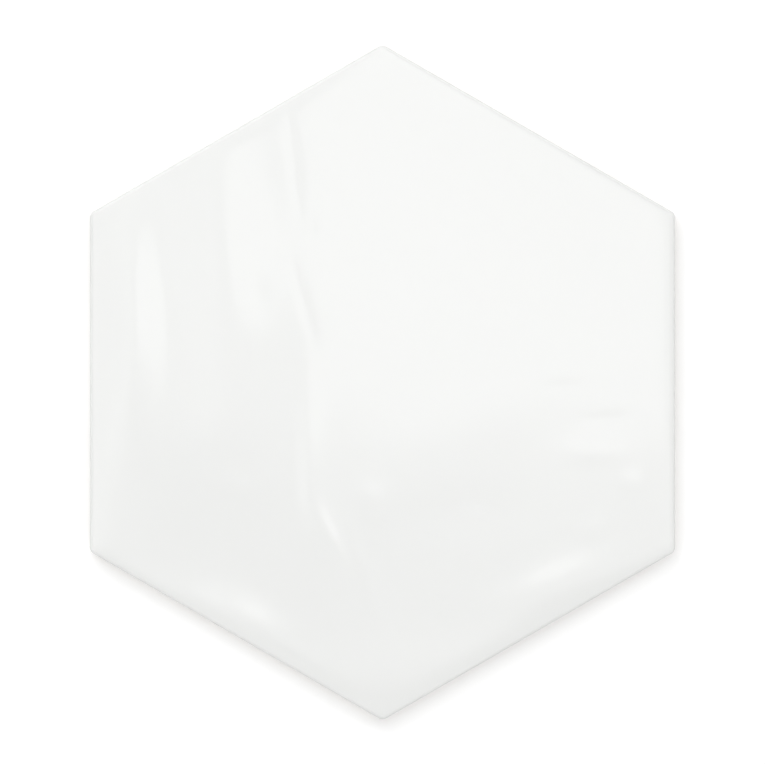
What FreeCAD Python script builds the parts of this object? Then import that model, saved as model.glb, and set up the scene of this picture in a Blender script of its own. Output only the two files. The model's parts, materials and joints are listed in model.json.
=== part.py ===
"""Hexagonal floor tile: one pressed and fired body under a glossy white glaze, 200 mm across the flats.

The tile lies on its back with its face up. Two of its corners point along Y, and two of its sides face
along X. The origin is the centre of the back, so the keyed back rests on Z = 0.
"""

import FreeCAD
import Part
import Sketcher
import math
import os

SIDES = 6
SIDE_STEP = 360 / SIDES
TILE_FIRST_CORNER = 30
KEY_FIRST_CORNER = 0
KEY_SECTORS = 3
KEY_SECTOR_ANGLE = 360 / KEY_SECTORS
FACE_DEGREE = 3
LEVEL_TOLERANCE = 1e-4
CORNER_BLEND = 0.4  # rounding of the slumped band at the tile's corners, as a share of the band's width
UP = FreeCAD.Vector(0, 0, 1)

# Driving sizes, in millimetres, degrees or a plain count. Each one can be set by itself.
DRIVING = {
    "across_flats": (200.0, "width between two opposite sides"),
    "thickness": (9.0, "height of the face's mean level above the back"),
    "corner_radius": (2.5, "rounding of each corner, seen from above"),
    "arris_radius": (1.2, "glazed roll from the face down into the sides"),
    "shoulder_height": (3.6, "height where the upright side meets the drafted foot"),
    "foot_draft": (7.0, "angle by which the foot narrows towards the back"),
    "back_chamfer": (0.4, "broken edge round the back"),
    "key_border": (8.0, "plain margin between the foot and the key cells"),
    "key_rib": (2.4, "web left standing between two key cells"),
    "key_depth": (0.6, "depth of the key cells"),
    "key_draft": (25.0, "slope of the key cells' walls"),
    "key_rings": (6, "rings of key cells round the middle one"),
    "swell_height": (0.20, "height of the strongest swell in the face"),
    "wave_height": (0.014, "height of the strongest wave in the face, from its mean level"),
    "wave_length": (74.0, "length of the strongest wave in the face"),
    "edge_slump": (0.09, "how far the face sinks at its sides"),
    "slump_width": (7.0, "width of the band along the sides in which the face sinks"),
    "sample_spacing": (4.0, "distance between the knots of the waved face"),
}

# Sizes that follow from the driving ones.
DERIVED = {
    "back_half_width": "=across_flats / 2 - shoulder_height * tan(foot_draft * 1deg)",
    "key_span": "=back_half_width - key_border + key_rib / sqrt(3)",
    "key_pitch": "=key_span / (key_rings * sqrt(3) / 2 + 1 / sqrt(3))",
    "key_width": "=key_pitch - key_rib",
    "blank_height": "=thickness + 2 * swell_height + 4 * wave_height",
}

# Long rounded swells of the face. The middle's x and y, the half length and the half width are shares of half
# the width across the flats, the heading is in degrees and the height is a share of swell_height.
# Order: x, y, heading, half length, half width, height.
FACE_SWELLS = [
    (-1.08, 0.10, 90, 0.95, 0.34, 1.00),
    (-0.86, 0.22, 91, 0.34, 0.09, 1.00),
    (-0.56, 0.50, 95, 0.38, 0.12, 0.90),
    (0.00, -1.00, 0, 0.85, 0.36, 0.80),
    (-0.47, -0.82, 150, 0.20, 0.07, 0.85),
    (0.58, -0.70, 24, 0.22, 0.07, 0.65),
    (0.30, -0.44, 3, 0.26, 0.09, -0.15),
]

# Finer waves over the whole face: each one's share of wave_height and of wave_length, its heading and its
# phase in degrees.
FACE_WAVES = [
    (1.00, 1.00, 8, 150),
    (0.71, 0.78, 81, 205),
    (0.57, 0.64, 128, 235),
    (0.57, 1.55, 50, 120),
]


def polar(radius, degrees, height=0.0):
    """The point at that radius and heading round the Z axis."""
    turn = math.radians(degrees)
    return FreeCAD.Vector(radius * math.cos(turn), radius * math.sin(turn), height)


def make_sheet(doc):
    """The spreadsheet with one named cell for each size."""
    sheet = doc.addObject("Spreadsheet::Sheet", "Sizes")
    row = 1
    for name, (value, note) in DRIVING.items():
        sheet.set(f"A{row}", name)
        sheet.set(f"B{row}", str(value))
        sheet.setAlias(f"B{row}", name)
        sheet.set(f"C{row}", note)
        row += 1
    for name, formula in DERIVED.items():
        sheet.set(f"A{row}", name)
        sheet.set(f"B{row}", formula)
        sheet.setAlias(f"B{row}", name)
        row += 1
    doc.recompute()
    return sheet


def origin_feature(body, role):
    """The body's own origin plane or axis with that role."""
    return next(f for f in body.Origin.OriginFeatures if f.Role == role)


def sketch_on_back(body, name):
    """An empty sketch on the plane of the tile's back."""
    sketch = body.newObject("Sketcher::SketchObject", name)
    sketch.AttachmentSupport = [(origin_feature(body, "XY_Plane"), "")]
    sketch.MapMode = "FlatFace"
    return sketch


def bind(sketch, constraint, name, formula):
    """Adds a dimension to the sketch, names it and ties it to the sheet."""
    index = sketch.addConstraint(constraint)
    sketch.renameConstraint(index, name)
    sketch.setExpression(f"Constraints.{name}", formula)


def hold_regular(sketch, lines, flats):
    """Keeps the lines tangent to the circle and turned by equal angles, one after the other."""
    for line in lines:
        sketch.addConstraint(Sketcher.Constraint("Tangent", line, flats))
    inside = math.radians(180 - SIDE_STEP)
    for before, after in zip(lines, lines[1:]):
        sketch.addConstraint(Sketcher.Constraint("Angle", after, 1, before, 2, inside))


def draw_outline(sheet, sketch):
    """The tile's outline: six straight sides round a construction circle, joined by tangent corner arcs."""
    half = sheet.across_flats / 2
    radius = sheet.corner_radius
    centre_reach = (half - radius) / math.cos(math.radians(SIDE_STEP / 2))
    arcs = []
    for side in range(SIDES):
        corner = TILE_FIRST_CORNER + side * SIDE_STEP
        circle = Part.Circle(polar(centre_reach, corner), UP, radius)
        first = math.radians(corner - SIDE_STEP / 2)
        last = math.radians(corner + SIDE_STEP / 2)
        arcs.append(sketch.addGeometry(Part.ArcOfCircle(circle, first, last)))
    next_arcs = arcs[1:] + arcs[:1]
    lines = []
    for arc, next_arc in zip(arcs, next_arcs):
        side_line = Part.LineSegment(sketch.getPoint(arc, 2), sketch.getPoint(next_arc, 1))
        lines.append(sketch.addGeometry(side_line))
    flats = sketch.addGeometry(Part.Circle(FreeCAD.Vector(), UP, half), True)

    for arc, line, next_arc in zip(arcs, lines, next_arcs):
        sketch.addConstraint(Sketcher.Constraint("Tangent", arc, 2, line, 1))
        sketch.addConstraint(Sketcher.Constraint("Tangent", line, 2, next_arc, 1))
    for arc in arcs[1:]:
        sketch.addConstraint(Sketcher.Constraint("Equal", arcs[0], arc))
    hold_regular(sketch, lines, flats)
    sketch.addConstraint(Sketcher.Constraint("Vertical", lines[-1]))
    sketch.addConstraint(Sketcher.Constraint("Coincident", flats, 3, -1, 1))
    bind(sketch, Sketcher.Constraint("Diameter", flats, 2 * half), "flats", "Sizes.across_flats")
    bind(sketch, Sketcher.Constraint("Radius", arcs[0], radius), "corner", "Sizes.corner_radius")


def draw_key_cell(sheet, sketch, centre):
    """One six-sided key cell with two of its sides facing along Y. Returns its construction circle."""
    flats = sketch.addGeometry(Part.Circle(centre, UP, sheet.key_width / 2), True)
    reach = sheet.key_width / math.sqrt(3)
    corners = [centre + polar(reach, KEY_FIRST_CORNER + side * SIDE_STEP) for side in range(SIDES)]
    lines = []
    for start, end in zip(corners, corners[1:] + corners[:1]):
        lines.append(sketch.addGeometry(Part.LineSegment(start, end)))
    for line, next_line in zip(lines, lines[1:] + lines[:1]):
        sketch.addConstraint(Sketcher.Constraint("Coincident", line, 2, next_line, 1))
    hold_regular(sketch, lines, flats)
    sketch.addConstraint(Sketcher.Constraint("Horizontal", lines[1]))
    bind(sketch, Sketcher.Constraint("Diameter", flats, sheet.key_width), "key_flats", "Sizes.key_width")
    return flats


def draw_key_axis(sheet, sketch, degrees):
    """A construction line from the middle of the back, one cell pitch long, in that heading."""
    axis = sketch.addGeometry(Part.LineSegment(FreeCAD.Vector(), polar(sheet.key_pitch, degrees)), True)
    sketch.addConstraint(Sketcher.Constraint("Coincident", axis, 1, -1, 1))
    sketch.addConstraint(Sketcher.Constraint("Angle", -1, 1, axis, 1, math.radians(degrees)))
    return axis


def add_blank(body, outline):
    """The pressed blank: upright sides above the shoulder and a drafted foot below it."""
    blank = body.newObject("PartDesign::Pad", "blank")
    blank.Profile = outline
    blank.SideType = "Two sides"
    blank.setExpression("Length", "Sizes.blank_height - Sizes.shoulder_height")
    blank.setExpression("Length2", "Sizes.shoulder_height")
    blank.setExpression("TaperAngle2", "-Sizes.foot_draft")
    return blank


def edges_at(shape, height):
    """The names of the edges that lie level at that height."""
    names = []
    for number, edge in enumerate(shape.Edges, 1):
        box = edge.BoundBox
        if abs(box.ZMin - height) < LEVEL_TOLERANCE and abs(box.ZMax - height) < LEVEL_TOLERANCE:
            names.append(f"Edge{number}")
    return names


def add_back_chamfer(body):
    """The broken edge all round the back."""
    base = body.Tip
    chamfer = body.newObject("PartDesign::Chamfer", "back_chamfer")
    chamfer.Base = (base, edges_at(base.Shape, 0))
    chamfer.setExpression("Size", "Sizes.back_chamfer")
    body.Document.recompute()
    return chamfer


def add_arris(sheet, body):
    """The glazed roll where the face turns down into the sides."""
    base = body.Tip
    halfway = (sheet.shoulder_height + sheet.thickness) / 2
    edges = enumerate(base.Shape.Edges, 1)
    rim = [f"Edge{number}" for number, edge in edges if edge.BoundBox.ZMin > halfway]
    arris = body.newObject("PartDesign::Fillet", "arris")
    arris.Base = (base, rim)
    arris.setExpression("Radius", "Sizes.arris_radius")
    body.Document.recompute()
    return arris


def add_key_pocket(body, name, sketch):
    """A shallow pocket up into the back, with sloping walls."""
    pocket = body.newObject("PartDesign::Pocket", name)
    pocket.Profile = sketch
    pocket.Reversed = True
    pocket.setExpression("Length", "Sizes.key_depth")
    pocket.setExpression("TaperAngle", "-Sizes.key_draft")
    return pocket


def add_middle_key(sheet, body):
    """The key cell in the middle of the back."""
    sketch = sketch_on_back(body, "middle_key_sketch")
    flats = draw_key_cell(sheet, sketch, FreeCAD.Vector())
    sketch.addConstraint(Sketcher.Constraint("Coincident", flats, 3, -1, 1))
    return add_key_pocket(body, "middle_key", sketch)


def add_key_row(body, name, axis, count):
    """A row of key cells along that axis, one pitch apart."""
    row = body.Document.addObject("PartDesign::LinearPattern", name)
    row.Direction = axis
    row.Mode = "Spacing"
    row.setExpression("Offset", "Sizes.key_pitch")
    row.setExpression("Occurrences", count)
    return row


def add_key_rings(sheet, body):
    """The rings of key cells: a slanted block of them, one pitch off the middle, laid three times round."""
    sketch = sketch_on_back(body, "ring_key_sketch")
    first_axis = draw_key_axis(sheet, sketch, TILE_FIRST_CORNER)
    second_axis = draw_key_axis(sheet, sketch, TILE_FIRST_CORNER + KEY_SECTOR_ANGLE)
    bind(sketch, Sketcher.Constraint("Distance", first_axis, sheet.key_pitch), "pitch", "Sizes.key_pitch")
    sketch.addConstraint(Sketcher.Constraint("Equal", first_axis, second_axis))
    flats = draw_key_cell(sheet, sketch, sketch.getPoint(first_axis, 2))
    sketch.addConstraint(Sketcher.Constraint("Coincident", flats, 3, first_axis, 2))
    first_key = add_key_pocket(body, "first_key", sketch)
    body.Document.recompute()

    rings = body.newObject("PartDesign::MultiTransform", "key_rings")
    rings.Originals = [first_key]
    outward = add_key_row(body, "keys_outward", (sketch, ["Axis0"]), "Sizes.key_rings")
    across = add_key_row(body, "keys_across", (sketch, ["Axis1"]), "Sizes.key_rings + 1")
    sectors = body.Document.addObject("PartDesign::PolarPattern", "key_sectors")
    sectors.Axis = (origin_feature(body, "Z_Axis"), [""])
    sectors.Angle = 360
    sectors.Occurrences = KEY_SECTORS
    rings.Transformations = [outward, across, sectors]
    body.Tip = rings
    return rings


def run_along(x, y, degrees):
    """How far the point lies along that heading."""
    return x * math.cos(math.radians(degrees)) + y * math.sin(math.radians(degrees))


def swell_at(sheet, x, y):
    """How far the swells lift the face there."""
    half = sheet.across_flats / 2
    lift = 0
    for middle_x, middle_y, heading, half_length, half_width, height_share in FACE_SWELLS:
        away_x = x / half - middle_x
        away_y = y / half - middle_y
        along = run_along(away_x, away_y, heading) / half_length
        across = run_along(away_x, away_y, heading + 90) / half_width
        lift += height_share * sheet.swell_height * math.exp(-along ** 2 - across ** 2)
    return lift


def slump_at(sheet, x, y):
    """How far the face sinks there, as the glaze draws back from the sides. Fades out away from them."""
    half = sheet.across_flats / 2
    blend = CORNER_BLEND * sheet.slump_width
    headings = [side * SIDE_STEP for side in range(SIDES)]
    crowding = sum(math.exp((run_along(x, y, heading) - half) / blend) for heading in headings)
    from_side = -blend * math.log(crowding)
    return sheet.edge_slump * max(0, 1 - from_side / sheet.slump_width) ** 2


def face_height(sheet, x, y):
    """The height of the swelled and waved face above that point of the back."""
    height = sheet.thickness + swell_at(sheet, x, y) - slump_at(sheet, x, y)
    for height_share, length_share, heading, phase in FACE_WAVES:
        turns = run_along(x, y, heading) / (length_share * sheet.wave_length)
        height += height_share * sheet.wave_height * math.cos(2 * math.pi * turns + math.radians(phase))
    return height


def pole_height(sheet, x, y):
    """The spline pole's height there. It leans away from its neighbours, so the face keeps to face_height."""
    step = sheet.sample_spacing
    height = face_height(sheet, x, y)
    neighbours = [(x - step, y), (x + step, y), (x, y - step), (x, y + step)]
    return height - sum(face_height(sheet, *place) - height for place in neighbours) / 6


def make_face_cutter(doc, sheet, blank):
    """A block that stands on the waved face and reaches past the blank on every side."""
    reach = max(blank.XMax, blank.YMax) + sheet.sample_spacing
    steps = math.ceil(reach / sheet.sample_spacing)
    knots = [step * sheet.sample_spacing for step in range(-steps, steps + 1)]
    padded = (FACE_DEGREE - 1) * knots[:1] + knots + (FACE_DEGREE - 1) * knots[-1:]
    marks = [sum(padded[i:i + FACE_DEGREE]) / FACE_DEGREE for i in range(len(padded) - FACE_DEGREE + 1)]
    poles = [[FreeCAD.Vector(x, y, pole_height(sheet, x, y)) for y in marks] for x in marks]
    uses = [FACE_DEGREE + 1] + [1] * (len(knots) - 2) + [FACE_DEGREE + 1]
    face = Part.BSplineSurface()
    face.buildFromPolesMultsKnots(poles, uses, uses, knots, knots, False, False, FACE_DEGREE, FACE_DEGREE)
    cutter = doc.addObject("Part::Feature", "face_cutter")
    cutter.Shape = face.toShape().extrude(UP * sheet.blank_height)
    return cutter


def check_document(doc):
    """Stops the build if any object is invalid or has no sound shape."""
    for item in doc.Objects:
        if "Invalid" in item.State or "Error" in item.State:
            raise RuntimeError(f"{item.Label}: {item.State}")
        if hasattr(item, "Shape") and item.TypeId.startswith(("Part::", "PartDesign::Body")):
            if item.Shape.isNull() or not item.Shape.isValid():
                raise RuntimeError(f"{item.Label}: the shape is not sound")


def build():
    """Models the tile and writes it out."""
    doc = FreeCAD.newDocument("hexagon_tile")
    sheet = make_sheet(doc)

    blank_body = doc.addObject("PartDesign::Body", "pressed_blank")
    outline = sketch_on_back(blank_body, "outline")
    draw_outline(sheet, outline)
    outline.setExpression("AttachmentOffset.Base.z", "Sizes.shoulder_height")
    add_blank(blank_body, outline)
    doc.recompute()

    waved = doc.addObject("Part::Cut", "waved_blank")
    waved.Base = blank_body
    waved.Tool = make_face_cutter(doc, sheet, blank_body.Shape.BoundBox)
    doc.recompute()

    tile = doc.addObject("PartDesign::Body", "hexagon_tile")
    tile.BaseFeature = waved
    doc.recompute()
    add_back_chamfer(tile)
    add_arris(sheet, tile)
    add_middle_key(sheet, tile)
    add_key_rings(sheet, tile)
    doc.recompute()
    check_document(doc)

    solids = tile.Shape.Solids
    if len(solids) != 1:
        raise RuntimeError(f"{tile.Label}: {len(solids)} solids instead of one")
    os.makedirs("parts", exist_ok=True)
    solids[0].exportStep(f"parts/{tile.Label}.step")


build()
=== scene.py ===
"""Hexagonal floor tile with a glossy white glaze, seen from straight above.

Lengths are in millimetres and angles in degrees unless a comment says otherwise. MM turns millimetres into
metres.
"""

import bpy
import collections
import json
import math
import mathutils
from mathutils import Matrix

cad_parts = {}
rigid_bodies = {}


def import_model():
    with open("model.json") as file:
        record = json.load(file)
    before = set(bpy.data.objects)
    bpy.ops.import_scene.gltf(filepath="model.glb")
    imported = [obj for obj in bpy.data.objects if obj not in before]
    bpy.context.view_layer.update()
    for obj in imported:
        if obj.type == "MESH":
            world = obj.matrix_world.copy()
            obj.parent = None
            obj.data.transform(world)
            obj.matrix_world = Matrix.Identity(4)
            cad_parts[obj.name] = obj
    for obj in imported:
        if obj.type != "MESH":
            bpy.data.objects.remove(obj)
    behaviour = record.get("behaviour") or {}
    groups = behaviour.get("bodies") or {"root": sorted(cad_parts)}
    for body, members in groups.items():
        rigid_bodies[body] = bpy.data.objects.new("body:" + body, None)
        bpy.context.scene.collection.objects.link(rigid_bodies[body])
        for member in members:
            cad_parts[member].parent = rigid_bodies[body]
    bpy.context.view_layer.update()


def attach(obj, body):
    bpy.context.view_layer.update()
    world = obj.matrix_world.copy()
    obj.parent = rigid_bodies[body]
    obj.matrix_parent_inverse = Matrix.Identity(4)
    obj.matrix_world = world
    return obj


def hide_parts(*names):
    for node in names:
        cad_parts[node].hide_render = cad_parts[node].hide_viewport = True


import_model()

MM = 0.001
SIDES = 6
SIDE_STEP = 360 / SIDES
HALF_STEP = math.radians(SIDE_STEP / 2)  # radians

# The tile's sizes, the same as in the part's source.
HALF_FLATS = 100.0
THICKNESS = 9.0
CORNER_RADIUS = 2.5
ARRIS_RADIUS = 1.2
SHOULDER_HEIGHT = 3.6
FOOT_DRAFT = 7.0
BACK_CHAMFER = 0.4
KEY_BORDER = 8.0
KEY_RIB = 2.4
KEY_DEPTH = 0.6
KEY_DRAFT = 25.0
KEY_RINGS = 6
EDGE_SLUMP = 0.09
SLUMP_WIDTH = 7.0
SLUMP_BLEND = 0.4 * SLUMP_WIDTH
BACK_HALF = HALF_FLATS - SHOULDER_HEIGHT * math.tan(math.radians(FOOT_DRAFT))
KEY_SPAN = BACK_HALF - KEY_BORDER + KEY_RIB / math.sqrt(3)
KEY_PITCH = KEY_SPAN / (KEY_RINGS * math.sqrt(3) / 2 + 1 / math.sqrt(3))
CORNER_CUT = CORNER_RADIUS * math.tan(HALF_STEP)  # from a sharp corner to where its rounding starts

# Long rounded swells of the face: middle x and y, heading, half length, half width, height.
SWELLS = [
    (-108, 10, 90, 95, 34, 0.20),
    (-86, 22, 91, 34, 9, 0.20),
    (-56, 50, 95, 38, 12, 0.18),
    (0, -100, 0, 85, 36, 0.16),
    (-47, -82, 150, 20, 7, 0.17),
    (58, -70, 24, 22, 7, 0.13),
    (30, -44, 3, 26, 9, -0.03),
]

# Finer waves over the whole face: height, length, heading, phase.
WAVES = [
    (0.014, 74.0, 8, 150),
    (0.010, 58.0, 81, 205),
    (0.008, 47.0, 128, 235),
    (0.008, 115.0, 50, 120),
]

# Drags, drips and three pits left in the glaze, with their numbers in the same order as a swell's.
DRAG_MARKS = [
    (-30.5, 78, 96, 17, 1.8, -0.02),
    (-27, 28, 105, 11, 1.8, -0.02),
    (-44, 33, 95, 7, 4, -0.025),
    (-24.5, -28, 92, 24, 4, 0.09),
    (-18, -54, 112, 12, 3.5, 0.09),
    (-3, -40, 95, 5, 4, 0.05),
    (-5, -68, 108, 20, 2.2, 0.035),
    (-50, -34, 150, 5, 2.2, 0.03),
    (72, -24, 0, 8, 4, 0.03),
    (85, -34, 60, 3, 3, 0.03),
    (72, -50, 20, 4, 3, 0.03),
    (-72, 62, 120, 3, 2.2, 0.02),
    (-67, 48, 120, 3, 2.2, 0.02),
    (61, -1, 3, 7, 1.4, -0.012),
    (76, -12, 3, 6, 1.4, -0.015),
    (-14, 91, 95, 2.6, 1.2, 0.012),
    (-21.4, 53, 95, 2.4, 1.2, 0.014),
    (32, -41.5, 0, 2.4, 1.5, -0.03),
]
FACE_SHYNESS = 0.01  # how far the visible face stays under the solid's

# The glaze's lower end on the sides: its mean height, and the two noises that move it up and down, each with
# its scale and detail and then its swing. Then where the lip, the foot and the colour change over.
GLAZE_LINE = 3.3
GLAZE_THICKNESS = 0.10
RUN_CLOUD, RUN_SWING = (38.0, 3.0), 2.6
DRIP_CLOUD, DRIP_SWING = (160.0, 2.0), 1.2
LIP_FADE = (-0.35, 0.35)
FOOT_FADE = (0.1, 0.6)
COLOUR_FADE = (-0.12, 0.12)

# How the edges and faces of the sides are told apart, and how finely they are cut.
UPRIGHT_RISE, UPRIGHT_CUTS = 2.0, 5
LONG_EDGE, LONG_CUTS = 50.0, 11
MIDDLE_EDGE, MIDDLE_CUTS = 5.0, 10
LID_CORNERS = 8
LEVEL_SLACK = 0.001
ROLL_FACETS = 8
BROKEN_EDGE_FACETS = 2
SMOOTH_ANGLE = 35

# The net of small triangles in the face, and its gap to the rolled rim.
NET_CUTS = (13, 9)
NET_GAP = 1.2

# The softened mouths of the key cells, their rows' headings, and the reach past which a cell is left out.
MOUTH_ROUND = 0.16
MOUTH_FACETS = 2
MOUTH_SLACK = 0.01
ROW_HEADINGS = (30, 150)
CELL_REACH = HALF_FLATS - 4
WELD_REACH = 0.02

# Colours and finish of the glaze and of the bare fired body. The bumps' heights are in metres.
WHITE_GLAZE = ((0.828, 0.834, 0.822, 1), (0.839, 0.845, 0.832, 1))
BARE_BODY = ((0.60, 0.55, 0.48, 1), (0.72, 0.68, 0.61, 1))
KILN_WASH = (0.80, 0.79, 0.76, 1)
WASH_COVER, WASH_GRAIN = 0.8, 0.5
WASH_EDGE = (-0.02, 0.12)
WASH_HEIGHT = (0.02, 0.3)
GLAZED_ROUGHNESS, BARE_ROUGHNESS = 0.03, 0.84
GLAZE_IOR = 1.5
PEEL_BUMP, SAND_BUMP, GRAIN_BUMP = 0.0000004, 0.00002, 0.00004

# The floor: how many times wider than the tile it is, its grey, and the light that lifts it to white.
FLOOR_SPREAD = 14
FLOOR_GREY = 0.85
FLOOR_LIFT = 0.25

# The camera, the panel above it and the lamp, in metres.
CAMERA_HEIGHT = 3.2
CAMERA_FAR = 100
SENSOR_WIDTH = 36  # millimetres
VIEW_WIDTH = 0.262
PANEL_HEIGHT = 6.0
PANEL_SIZE = 2.4
LAMP_SPOT = (-0.6, 1.53, 2.5)
LAMP_SIZE = 2.16
LAMP_POWER = 26  # watts

# The panel's pattern, laid out where a flat tile would mirror it: a bright core that fills the upper right,
# a halo round it, a dim strip below and one on the left, and a base that darkens past the foot. Each pair is
# where a fade starts and ends.
CORE_SIDE, CORE_LEAN = 19.0, 0.13
CORE_FOOT, CORE_DIP = 8.0, 0.12
CORE_EDGE = (-6, 6)
CORE_RIGHT = (130, 155)
HALO_ROUND = (4, 64)
HALO_CORNER, HALO_SLOPE = 55.0, 0.9
HALO_FOOT = (-27, -1)
HALO_RIGHT = (230, 330)
LOW_STRIP, LOW_STRIP_EDGE, LOW_STRIP_START = 84.0, (6, 34), (-45, 5)
LEFT_STRIP, LEFT_STRIP_EDGE = 84.0, (14, 34)
BASE_FOOT = (-150, -100)
CORE_GLOW, HALO_GLOW, LOW_STRIP_GLOW, LEFT_STRIP_GLOW = 1.05, 0.9, 0.5, 0.3
BASE_GLOW, BASE_GLOW_RISE = 0.15, 0.5

# The room and its four tall windows: the heading of each one's middle, then their common half width, and
# their foot and head above the horizon. The panes grow brighter from foot to head. The pairs for the horizon,
# the windows' edges and the bars are where a fade starts and ends.
WALL_LEVEL = 0.515
BELOW_LEVEL = 0.85
HORIZON_FADE = (0, 4)
WINDOW_AZIMUTHS = [40, 118, 212, 305]
WINDOW_HALF_WIDTH = 24
WINDOW_FOOT, WINDOW_HEAD = 9, 51
WINDOW_EDGE = (-0.5, 0.5)
PANE_WIDTH, PANE_HEIGHT = 4.8, 3.5
PANE_LEVELS = (0.66, 2.9)
BAR_EDGE = (0.25, 0.55)

# Where a colour mixing node has its two colours and its result.
MIX_FIRST, MIX_SECOND, MIX_RESULT = 6, 7, 2


class Wire:
    """An output in a node tree. Sums on wires and numbers add the nodes that work them out."""

    def __init__(self, tree, socket=None):
        self.tree = tree
        self.socket = socket

    def node(self, kind, settings=None, values=None, output=0):
        """Adds a node with these settings, and these values or wires at its inputs. Gives one output."""
        made = self.tree.nodes.new(kind)
        for name, setting in (settings or {}).items():
            setattr(made, name, setting)
        for name, value in (values or {}).items():
            if isinstance(value, Wire):
                self.tree.links.new(value.socket, made.inputs[name])
            else:
                made.inputs[name].default_value = value
        return Wire(self.tree, made.outputs[output] if made.outputs else None)

    def math(self, operation, *others):
        return self.node("ShaderNodeMath", {"operation": operation}, dict(enumerate((self, *others))))

    def vector(self, operation, values=None):
        """Vector maths that starts from this wire."""
        return self.node("ShaderNodeVectorMath", {"operation": operation}, {0: self, **(values or {})})

    def __add__(self, other):
        return self.math("ADD", other)

    __radd__ = __add__

    def __mul__(self, other):
        return self.math("MULTIPLY", other)

    __rmul__ = __mul__

    def __sub__(self, other):
        return self.math("SUBTRACT", other)

    def __rsub__(self, other):
        return self.node("ShaderNodeMath", {"operation": "SUBTRACT"}, {0: other, 1: self})

    def part(self, output):
        """One of the three parts of a vector."""
        return self.node("ShaderNodeSeparateXYZ", None, {0: self}, output)

    def step(self, low, high):
        """Goes smoothly from 0 at low to 1 at high."""
        values = {"Value": self, "From Min": low, "From Max": high}
        return self.node("ShaderNodeMapRange", {"interpolation_type": "SMOOTHSTEP"}, values)

    def noise(self, scale, detail=2.0, roughness=0.5):
        """Cloudy noise from 0 to 1 at these coordinates."""
        values = {"Vector": self, "Scale": scale, "Detail": detail, "Roughness": roughness}
        return self.node("ShaderNodeTexNoise", None, values)

    def mix(self, first, second):
        """A colour between two others, with this wire as the factor."""
        values = {0: self, MIX_FIRST: first, MIX_SECOND: second}
        return self.node("ShaderNodeMix", {"data_type": "RGBA"}, values, MIX_RESULT)


def empty_tree(owner):
    """Clears the node tree of a material or a world, and gives a wire to add nodes from."""
    owner.use_nodes = True
    owner.node_tree.nodes.clear()
    return Wire(owner.node_tree)


def start_afresh():
    """Leaves edit mode and selects nothing."""
    if bpy.context.object and bpy.context.object.mode != "OBJECT":
        bpy.ops.object.mode_set(mode="OBJECT")
    bpy.ops.object.select_all(action="DESELECT")


def pick(piece, domain, test):
    """Selects the piece's vertices, edges or faces that pass the test, and leaves it in edit mode."""
    bpy.ops.object.mode_set(mode="EDIT")
    bpy.ops.mesh.select_mode(type=domain)
    bpy.ops.mesh.select_all(action="DESELECT")
    bpy.ops.object.mode_set(mode="OBJECT")
    mesh = piece.data
    for item in {"VERT": mesh.vertices, "EDGE": mesh.edges, "FACE": mesh.polygons}[domain]:
        item.select = test(item)
    bpy.ops.object.mode_set(mode="EDIT")


def edge_ends(piece, edge):
    first, second = edge.vertices
    return piece.data.vertices[first].co, piece.data.vertices[second].co


def edge_length(piece, edge):
    first, second = edge_ends(piece, edge)
    return (first - second).length / MM


def edge_rise(piece, edge):
    first, second = edge_ends(piece, edge)
    return abs(first.z - second.z) / MM


def lies_at(piece, edge, height):
    """Whether both ends of the edge lie at that height."""
    return all(abs(end.z / MM - height) < LEVEL_SLACK for end in edge_ends(piece, edge))


def open_edges(piece):
    """The edges that only one face uses."""
    uses = collections.Counter(key for face in piece.data.polygons for key in face.edge_keys)
    return {key for key, count in uses.items() if count == 1}


def weld(piece, other):
    """Makes the other object part of the piece."""
    start_afresh()
    other.select_set(True)
    piece.select_set(True)
    bpy.context.view_layer.objects.active = piece
    bpy.ops.object.join()


def press_blank():
    """The sides of the tile, from the broken edge of the back up to the rolled rim of the face."""
    start_afresh()
    corner_reach = BACK_HALF / math.cos(HALF_STEP)
    bpy.ops.mesh.primitive_circle_add(vertices=SIDES, radius=corner_reach * MM, fill_type="NGON")
    blank = bpy.context.object
    blank.name = "tile"
    bpy.ops.object.mode_set(mode="EDIT")
    bpy.ops.mesh.select_all(action="SELECT")
    bpy.ops.mesh.extrude_region_move(TRANSFORM_OT_translate={"value": (0, 0, SHOULDER_HEIGHT * MM)})
    flare = HALF_FLATS / BACK_HALF
    bpy.ops.transform.resize(value=(flare, flare, 1))
    upright = (THICKNESS - SHOULDER_HEIGHT) * MM
    bpy.ops.mesh.extrude_region_move(TRANSFORM_OT_translate={"value": (0, 0, upright)})

    # The corners are rounded, the face's rim is rolled and the back's edge is broken.
    pick(blank, "EDGE", lambda edge: edge_rise(blank, edge) > UPRIGHT_RISE)
    bpy.ops.mesh.bevel(offset=CORNER_CUT * MM, segments=ROLL_FACETS, affect="EDGES")
    pick(blank, "EDGE", lambda edge: lies_at(blank, edge, THICKNESS))
    bpy.ops.mesh.bevel(offset=ARRIS_RADIUS * MM, segments=ROLL_FACETS, affect="EDGES")
    pick(blank, "EDGE", lambda edge: lies_at(blank, edge, 0))
    bpy.ops.mesh.bevel(offset=BACK_CHAMFER * MM, segments=BROKEN_EDGE_FACETS, affect="EDGES")

    # The face and the back come later, so their lids go, and the long edges are cut up.
    pick(blank, "FACE", lambda face: len(face.vertices) > LID_CORNERS)
    bpy.ops.mesh.delete(type="ONLY_FACE")
    pick(blank, "EDGE", lambda edge: edge_length(blank, edge) > LONG_EDGE)
    bpy.ops.mesh.subdivide(number_cuts=LONG_CUTS)
    pick(blank, "EDGE", lambda edge: edge_length(blank, edge) > MIDDLE_EDGE)
    bpy.ops.mesh.subdivide(number_cuts=MIDDLE_CUTS)
    pick(blank, "EDGE", lambda edge: edge_rise(blank, edge) > UPRIGHT_RISE)
    bpy.ops.mesh.subdivide(number_cuts=UPRIGHT_CUTS)
    return blank


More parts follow.
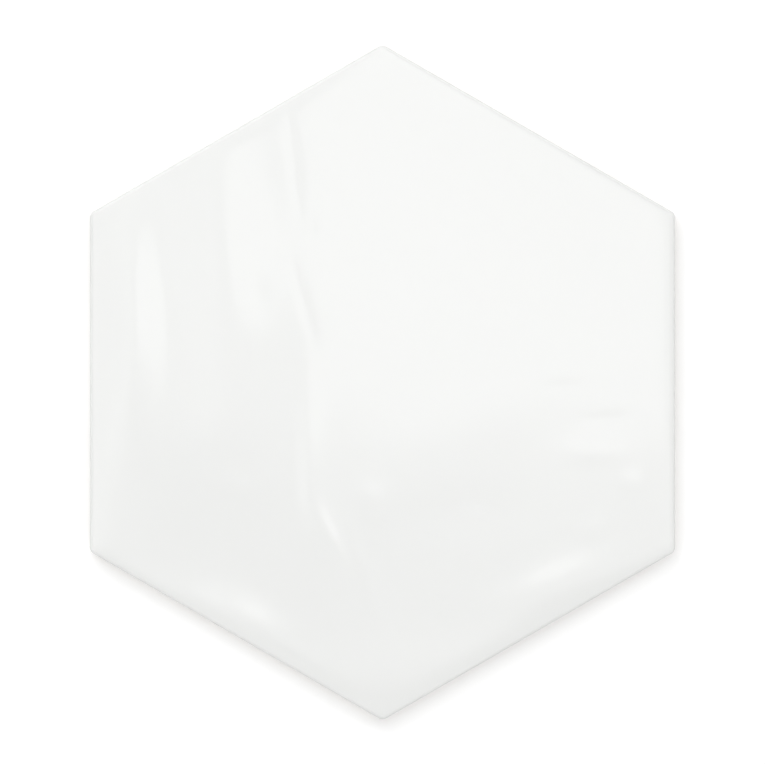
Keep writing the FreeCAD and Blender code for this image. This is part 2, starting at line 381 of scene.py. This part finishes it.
def lay_face(blank):
    """Fills the rim with an even net of small triangles and joins it all round."""
    start_afresh()
    net_reach = (HALF_FLATS - ARRIS_RADIUS - NET_GAP) / math.cos(HALF_STEP)
    bpy.ops.mesh.primitive_circle_add(vertices=SIDES, radius=net_reach * MM, fill_type="TRIFAN")
    net = bpy.context.object
    bpy.ops.object.mode_set(mode="EDIT")
    bpy.ops.mesh.select_all(action="SELECT")
    bpy.ops.transform.translate(value=(0, 0, THICKNESS * MM))
    for cuts in NET_CUTS:
        bpy.ops.mesh.subdivide(number_cuts=cuts)
    weld(blank, net)
    rims = open_edges(blank)
    pick(blank, "EDGE", lambda edge: edge.key in rims and lies_at(blank, edge, THICKNESS))
    bpy.ops.mesh.bridge_edge_loops()
    start_afresh()


def key_cell():
    """One shallow key cell with its share of the ribs round it, open at the back."""
    start_afresh()
    bpy.ops.mesh.primitive_circle_add(vertices=SIDES, radius=KEY_PITCH / math.sqrt(3) * MM, fill_type="NGON")
    cell = bpy.context.object
    bpy.ops.object.mode_set(mode="EDIT")
    bpy.ops.mesh.select_all(action="SELECT")
    bpy.ops.transform.rotate(value=HALF_STEP, orient_axis="Z", center_override=(0, 0, 0))
    bpy.ops.mesh.flip_normals()
    bpy.ops.mesh.inset(thickness=KEY_RIB / 2 * MM, depth=0)
    bpy.ops.mesh.inset(thickness=KEY_DEPTH * math.tan(math.radians(KEY_DRAFT)) * MM, depth=-KEY_DEPTH * MM)
    mouth = KEY_PITCH / 2 - KEY_RIB / 2

    def round_mouth(edge):
        first, second = edge_ends(cell, edge)
        middle = (first + second) / 2
        return lies_at(cell, edge, 0) and abs(middle.to_2d().length / MM - mouth) < MOUTH_SLACK

    pick(cell, "EDGE", round_mouth)
    bpy.ops.mesh.bevel(offset=MOUTH_ROUND * MM, segments=MOUTH_FACETS, affect="EDGES")
    return cell


def key_back(blank):
    """The honeycomb of shallow key cells, and the plain margin that joins it to the broken edge."""
    comb = key_cell()
    bpy.ops.mesh.select_all(action="SELECT")

    # A slanted block of cells is laid, and those that reach past the margin are taken out again.
    rows = [(KEY_PITCH * MM * math.cos(turn), KEY_PITCH * MM * math.sin(turn), 0)
            for turn in map(math.radians, ROW_HEADINGS)]
    start_x, start_y = (-KEY_RINGS * (rows[0][axis] + rows[1][axis]) for axis in (0, 1))
    bpy.ops.transform.translate(value=(start_x, start_y, 0))
    bpy.ops.object.mode_set(mode="OBJECT")
    for row in rows:
        bpy.ops.object.modifier_add(type="ARRAY")
        array = comb.modifiers[-1]
        array.count = 2 * KEY_RINGS + 1
        array.use_relative_offset = False
        array.use_constant_offset = True
        array.constant_offset_displace = row
        bpy.ops.object.modifier_apply(modifier=array.name)
    pick(comb, "VERT", lambda vertex: abs(vertex.co.x) / MM > CELL_REACH)
    bpy.ops.mesh.select_linked()
    bpy.ops.mesh.delete(type="VERT")
    bpy.ops.mesh.select_all(action="SELECT")
    bpy.ops.mesh.remove_doubles(threshold=WELD_REACH * MM)

    # One flat face with a ragged hole fills the margin between the comb and the broken edge.
    weld(blank, comb)
    rims = open_edges(blank)
    pick(blank, "EDGE", lambda edge: edge.key in rims)
    bpy.ops.mesh.fill()
    bpy.ops.mesh.select_all(action="SELECT")
    bpy.ops.mesh.normals_make_consistent(inside=False)
    start_afresh()


def glaze_line(place):
    """How high the glaze ends on the sides, at each spot of the rim."""
    runs = place.noise(*RUN_CLOUD)
    drips = place.noise(*DRIP_CLOUD)
    return GLAZE_LINE + (runs - 0.5) * RUN_SWING + (drips - 0.5) * DRIP_SWING


def swell(x, y, middle_x, middle_y, heading, half_length, half_width, height):
    """A long rounded ridge, or a hollow where the height is below nought."""
    cosine = math.cos(math.radians(heading))
    sine = math.sin(math.radians(heading))
    along = ((x - middle_x) * cosine + (y - middle_y) * sine) * (1 / half_length)
    across = ((y - middle_y) * cosine - (x - middle_x) * sine) * (1 / half_width)
    return (-1.0 * (along * along + across * across)).math("EXPONENT") * height


def run_along(x, y, heading):
    """How far the spot lies along that heading."""
    return x * math.cos(math.radians(heading)) + y * math.sin(math.radians(heading))


def slump(x, y):
    """How far the glaze sinks along the sides of the face."""
    outs = [run_along(x, y, side * SIDE_STEP) - HALF_FLATS for side in range(SIDES)]
    crowding = sum((out * (1 / SLUMP_BLEND)).math("EXPONENT") for out in outs)
    from_side = crowding.math("LOGARITHM", math.e) * -SLUMP_BLEND
    nearness = (1.0 - from_side * (1 / SLUMP_WIDTH)).math("MAXIMUM", 0.0)
    return nearness * nearness * EDGE_SLUMP


def wave_face(tile):
    """Gives the face its waves, swells and drag marks, and lets the glaze stand proud of the bare foot."""
    start_afresh()
    tile.select_set(True)
    bpy.context.view_layer.objects.active = tile
    bpy.ops.object.modifier_add(type="NODES")
    shaping = tile.modifiers[-1]
    tree = bpy.data.node_groups.new("face_relief", "GeometryNodeTree")
    tree.interface.new_socket("Tile", in_out="INPUT", socket_type="NodeSocketGeometry")
    tree.interface.new_socket("Tile", in_out="OUTPUT", socket_type="NodeSocketGeometry")
    shaping.node_group = tree
    bench = Wire(tree)
    plain = bench.node("NodeGroupInput")
    place = bench.node("GeometryNodeInputPosition")
    x, y, z = (place.part(axis) * (1 / MM) for axis in "XYZ")

    relief = slump(x, y) * -1.0 - FACE_SHYNESS
    for height, length, heading, phase in WAVES:
        turn = run_along(x, y, heading) * (2 * math.pi / length)
        relief = relief + (turn + math.radians(phase)).math("COSINE") * height
    for numbers in SWELLS + DRAG_MARKS:
        relief = relief + swell(x, y, *numbers)
    lift = relief * z.step(SHOULDER_HEIGHT, THICKNESS - ARRIS_RADIUS) * MM

    bare = (1.0 - (z - glaze_line(place)).step(*LIP_FADE)) * z.step(*FOOT_FADE)
    outward = place.vector("MULTIPLY", {1: (1, 1, 0)}).vector("NORMALIZE")
    drawn_in = outward.vector("SCALE", {"Scale": bare * (-GLAZE_THICKNESS * MM)})
    upward = bench.node("ShaderNodeCombineXYZ", None, {"Z": lift})
    move = upward.vector("ADD", {1: drawn_in})
    shaped = bench.node("GeometryNodeSetPosition", None, {"Geometry": plain, "Offset": move})
    bench.node("NodeGroupOutput", None, {"Tile": shaped})
    bpy.ops.object.modifier_apply(modifier=shaping.name)
    bpy.ops.object.shade_smooth_by_angle(angle=math.radians(SMOOTH_ANGLE))


def glazed_porcelain():
    """White glaze over the face and sides, and the bare fired body below the glaze line and on the back."""
    material = bpy.data.materials.new("glazed_porcelain")
    bench = empty_tree(material)
    place = bench.node("ShaderNodeTexCoord", None, None, "Object")
    z = place.part("Z") * (1 / MM)

    glazed = (z - glaze_line(place)).step(*COLOUR_FADE)
    white = place.noise(scale=22.0).mix(*WHITE_GLAZE)
    grain = place.noise(scale=900.0, detail=3.0, roughness=0.6)
    patches = place.noise(scale=45.0, detail=4.0, roughness=0.6)
    wash = (patches - 0.5 + (grain - 0.5) * WASH_GRAIN).step(*WASH_EDGE) * (1.0 - z.step(*WASH_HEIGHT))
    body = (wash * WASH_COVER).mix(grain.mix(*BARE_BODY), KILN_WASH)
    colour = glazed.mix(body, white)
    roughness = glazed * (GLAZED_ROUGHNESS - BARE_ROUGHNESS) + BARE_ROUGHNESS

    peel = place.noise(scale=420.0)
    sand = place.noise(scale=2600.0, roughness=0.7)
    height = glazed * peel * PEEL_BUMP + (1.0 - glazed) * (sand * SAND_BUMP + grain * GRAIN_BUMP)
    normal = bench.node("ShaderNodeBump", None, {"Height": height, "Strength": 1.0, "Distance": 1.0})
    finish = {"Base Color": colour, "Roughness": roughness, "IOR": GLAZE_IOR, "Normal": normal}
    shader = bench.node("ShaderNodeBsdfPrincipled", None, finish)
    bench.node("ShaderNodeOutputMaterial", None, {"Surface": shader})
    return material


def white_floor():
    """White to the camera, and clear from below, so that the tile's back is seen."""
    material = bpy.data.materials.new("white_floor")
    bench = empty_tree(material)
    seen = bench.node("ShaderNodeLightPath", None, None, "Is Camera Ray")
    paper = bench.node("ShaderNodeBsdfDiffuse", None, {"Color": (FLOOR_GREY, FLOOR_GREY, FLOOR_GREY, 1)})
    lift = bench.node("ShaderNodeEmission", None, {"Color": seen * FLOOR_LIFT})
    front = bench.node("ShaderNodeAddShader", None, {0: paper, 1: lift})
    clear = bench.node("ShaderNodeBsdfTransparent")
    below = bench.node("ShaderNodeNewGeometry", None, None, "Backfacing")
    both = bench.node("ShaderNodeMixShader", None, {0: below, 1: front, 2: clear})
    bench.node("ShaderNodeOutputMaterial", None, {"Surface": both})
    return material


def add_stage():
    """A white floor with a hole under the tile, so that the back is lit from below."""
    start_afresh()
    hole_reach = (BACK_HALF - BACK_CHAMFER / 2) / math.cos(HALF_STEP)
    bpy.ops.mesh.primitive_circle_add(vertices=SIDES, radius=hole_reach * MM, fill_type="NOTHING")
    floor = bpy.context.object
    floor.name = "floor"
    bpy.ops.object.mode_set(mode="EDIT")
    bpy.ops.mesh.select_all(action="SELECT")
    bpy.ops.mesh.bevel(offset=CORNER_CUT * MM, segments=ROLL_FACETS, affect="VERTICES")
    bpy.ops.mesh.select_all(action="SELECT")
    bpy.ops.mesh.extrude_edges_move()
    bpy.ops.transform.resize(value=(FLOOR_SPREAD, FLOOR_SPREAD, 1))
    bpy.ops.mesh.select_all(action="SELECT")
    bpy.ops.mesh.normals_make_consistent(inside=False)
    bpy.ops.object.mode_set(mode="OBJECT")
    if floor.data.polygons[0].normal.z < 0:
        bpy.ops.object.mode_set(mode="EDIT")
        bpy.ops.mesh.flip_normals()
        bpy.ops.object.mode_set(mode="OBJECT")
    floor.data.materials.append(white_floor())


def add_camera():
    camera_data = bpy.data.cameras.new("camera")
    camera_data.sensor_width = SENSOR_WIDTH
    camera_data.lens = SENSOR_WIDTH * CAMERA_HEIGHT / VIEW_WIDTH
    camera_data.clip_end = CAMERA_FAR
    camera = bpy.data.objects.new("camera", camera_data)
    camera.location = (0, 0, CAMERA_HEIGHT)
    bpy.context.scene.collection.objects.link(camera)
    bpy.context.scene.camera = camera


def panel_level(x, y):
    """How bright the panel is at the spot that a flat tile would mirror at x and y."""
    from_left = x + y * CORE_LEAN + CORE_SIDE
    from_foot = y + x.math("MAXIMUM", 0.0) * CORE_DIP + CORE_FOOT
    core = from_left.step(*CORE_EDGE) * from_foot.step(*CORE_EDGE) * (1.0 - x.step(*CORE_RIGHT))
    out = from_left.math("MINIMUM", 0.0)
    down = from_foot.math("MINIMUM", 0.0)
    around = 1.0 - (out * out + down * down).math("SQRT").step(*HALO_ROUND)
    beside = (y - (x + HALO_CORNER).math("MINIMUM", 0.0) * HALO_SLOPE).step(*HALO_FOOT)
    halo = beside.math("MAXIMUM", around) * (1.0 - x.step(*HALO_RIGHT))
    low_strip = 1.0 - (y + LOW_STRIP).math("ABSOLUTE").step(*LOW_STRIP_EDGE)
    low_strip = low_strip * x.step(*LOW_STRIP_START)
    left_strip = 1.0 - (x + LEFT_STRIP).math("ABSOLUTE").step(*LEFT_STRIP_EDGE)
    base = y.step(*BASE_FOOT) * BASE_GLOW_RISE + BASE_GLOW
    glow = core * CORE_GLOW + halo * HALO_GLOW + low_strip * LOW_STRIP_GLOW
    return glow + left_strip * LEFT_STRIP_GLOW + base


def add_panel():
    """The far bright panel that the glaze mirrors into the camera, which doesn't see it."""
    start_afresh()
    bpy.ops.mesh.primitive_plane_add(size=PANEL_SIZE, location=(0, 0, PANEL_HEIGHT))
    panel = bpy.context.object
    panel.name = "panel"
    bpy.ops.object.transform_apply(location=True, rotation=False, scale=False)
    material = bpy.data.materials.new("panel_glow")
    bench = empty_tree(material)
    place = bench.node("ShaderNodeTexCoord", None, None, "Object")
    spread = 1 + PANEL_HEIGHT / CAMERA_HEIGHT
    x, y = (place.part(axis) * (1 / MM / spread) for axis in "XY")
    glow = bench.node("ShaderNodeEmission", None, {"Color": panel_level(x, y)})
    bench.node("ShaderNodeOutputMaterial", None, {"Surface": glow})
    panel.data.materials.append(material)
    panel.visible_camera = False


def add_lamp():
    """A large soft lamp behind the tile, turned to it."""
    lamp_data = bpy.data.lights.new("soft_lamp", "AREA")
    lamp_data.shape = "SQUARE"
    lamp_data.size = LAMP_SIZE
    lamp_data.energy = LAMP_POWER
    lamp = bpy.data.objects.new("soft_lamp", lamp_data)
    lamp.location = LAMP_SPOT
    lamp.rotation_euler = mathutils.Vector(lamp.location).to_track_quat("Z", "Y").to_euler()
    bpy.context.scene.collection.objects.link(lamp)


def add_room():
    """A plain room with four barred windows, which the camera sees as white."""
    world = bpy.data.worlds.new("room")
    bench = empty_tree(world)
    seen = bench.node("ShaderNodeLightPath", None, None, "Is Camera Ray")
    way = bench.node("ShaderNodeTexCoord", None, None, "Generated")
    azimuth = way.part("Y").math("ARCTAN2", way.part("X")) * (180 / math.pi)
    height = way.part("Z").math("ARCSINE") * (180 / math.pi)

    opening = (height - WINDOW_FOOT).step(*WINDOW_EDGE) * (WINDOW_HEAD - height).step(*WINDOW_EDGE)
    rails = (height - WINDOW_FOOT).math("PINGPONG", PANE_HEIGHT / 2).step(*BAR_EDGE)
    asides = [(azimuth - middle).math("WRAP", 180.0, -180.0).math("ABSOLUTE") for middle in WINDOW_AZIMUTHS]
    across = sum(aside.math("PINGPONG", PANE_WIDTH / 2).step(*BAR_EDGE)
                 * (WINDOW_HALF_WIDTH - aside).step(*WINDOW_EDGE) for aside in asides)
    pane = height.node("ShaderNodeMapRange", None, {
        "Value": height,
        "From Min": WINDOW_FOOT, "From Max": WINDOW_HEAD,
        "To Min": PANE_LEVELS[0], "To Max": PANE_LEVELS[1],
    })
    light = opening * rails * across * (pane - WALL_LEVEL) + WALL_LEVEL
    light = light + (-1.0 * height).step(*HORIZON_FADE) * (BELOW_LEVEL - WALL_LEVEL)
    light = light * (1.0 - seen) + seen
    sky = bench.node("ShaderNodeBackground", None, {"Color": light})
    bench.node("ShaderNodeOutputWorld", None, {"Surface": sky})
    bpy.context.scene.world = world


tile = press_blank()
lay_face(tile)
key_back(tile)
wave_face(tile)
tile.data.materials.append(glazed_porcelain())
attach(tile, "root")
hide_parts("hexagon_tile")
add_stage()
add_camera()
add_panel()
add_lamp()
add_room()
bpy.context.scene.view_settings.view_transform = "Standard"
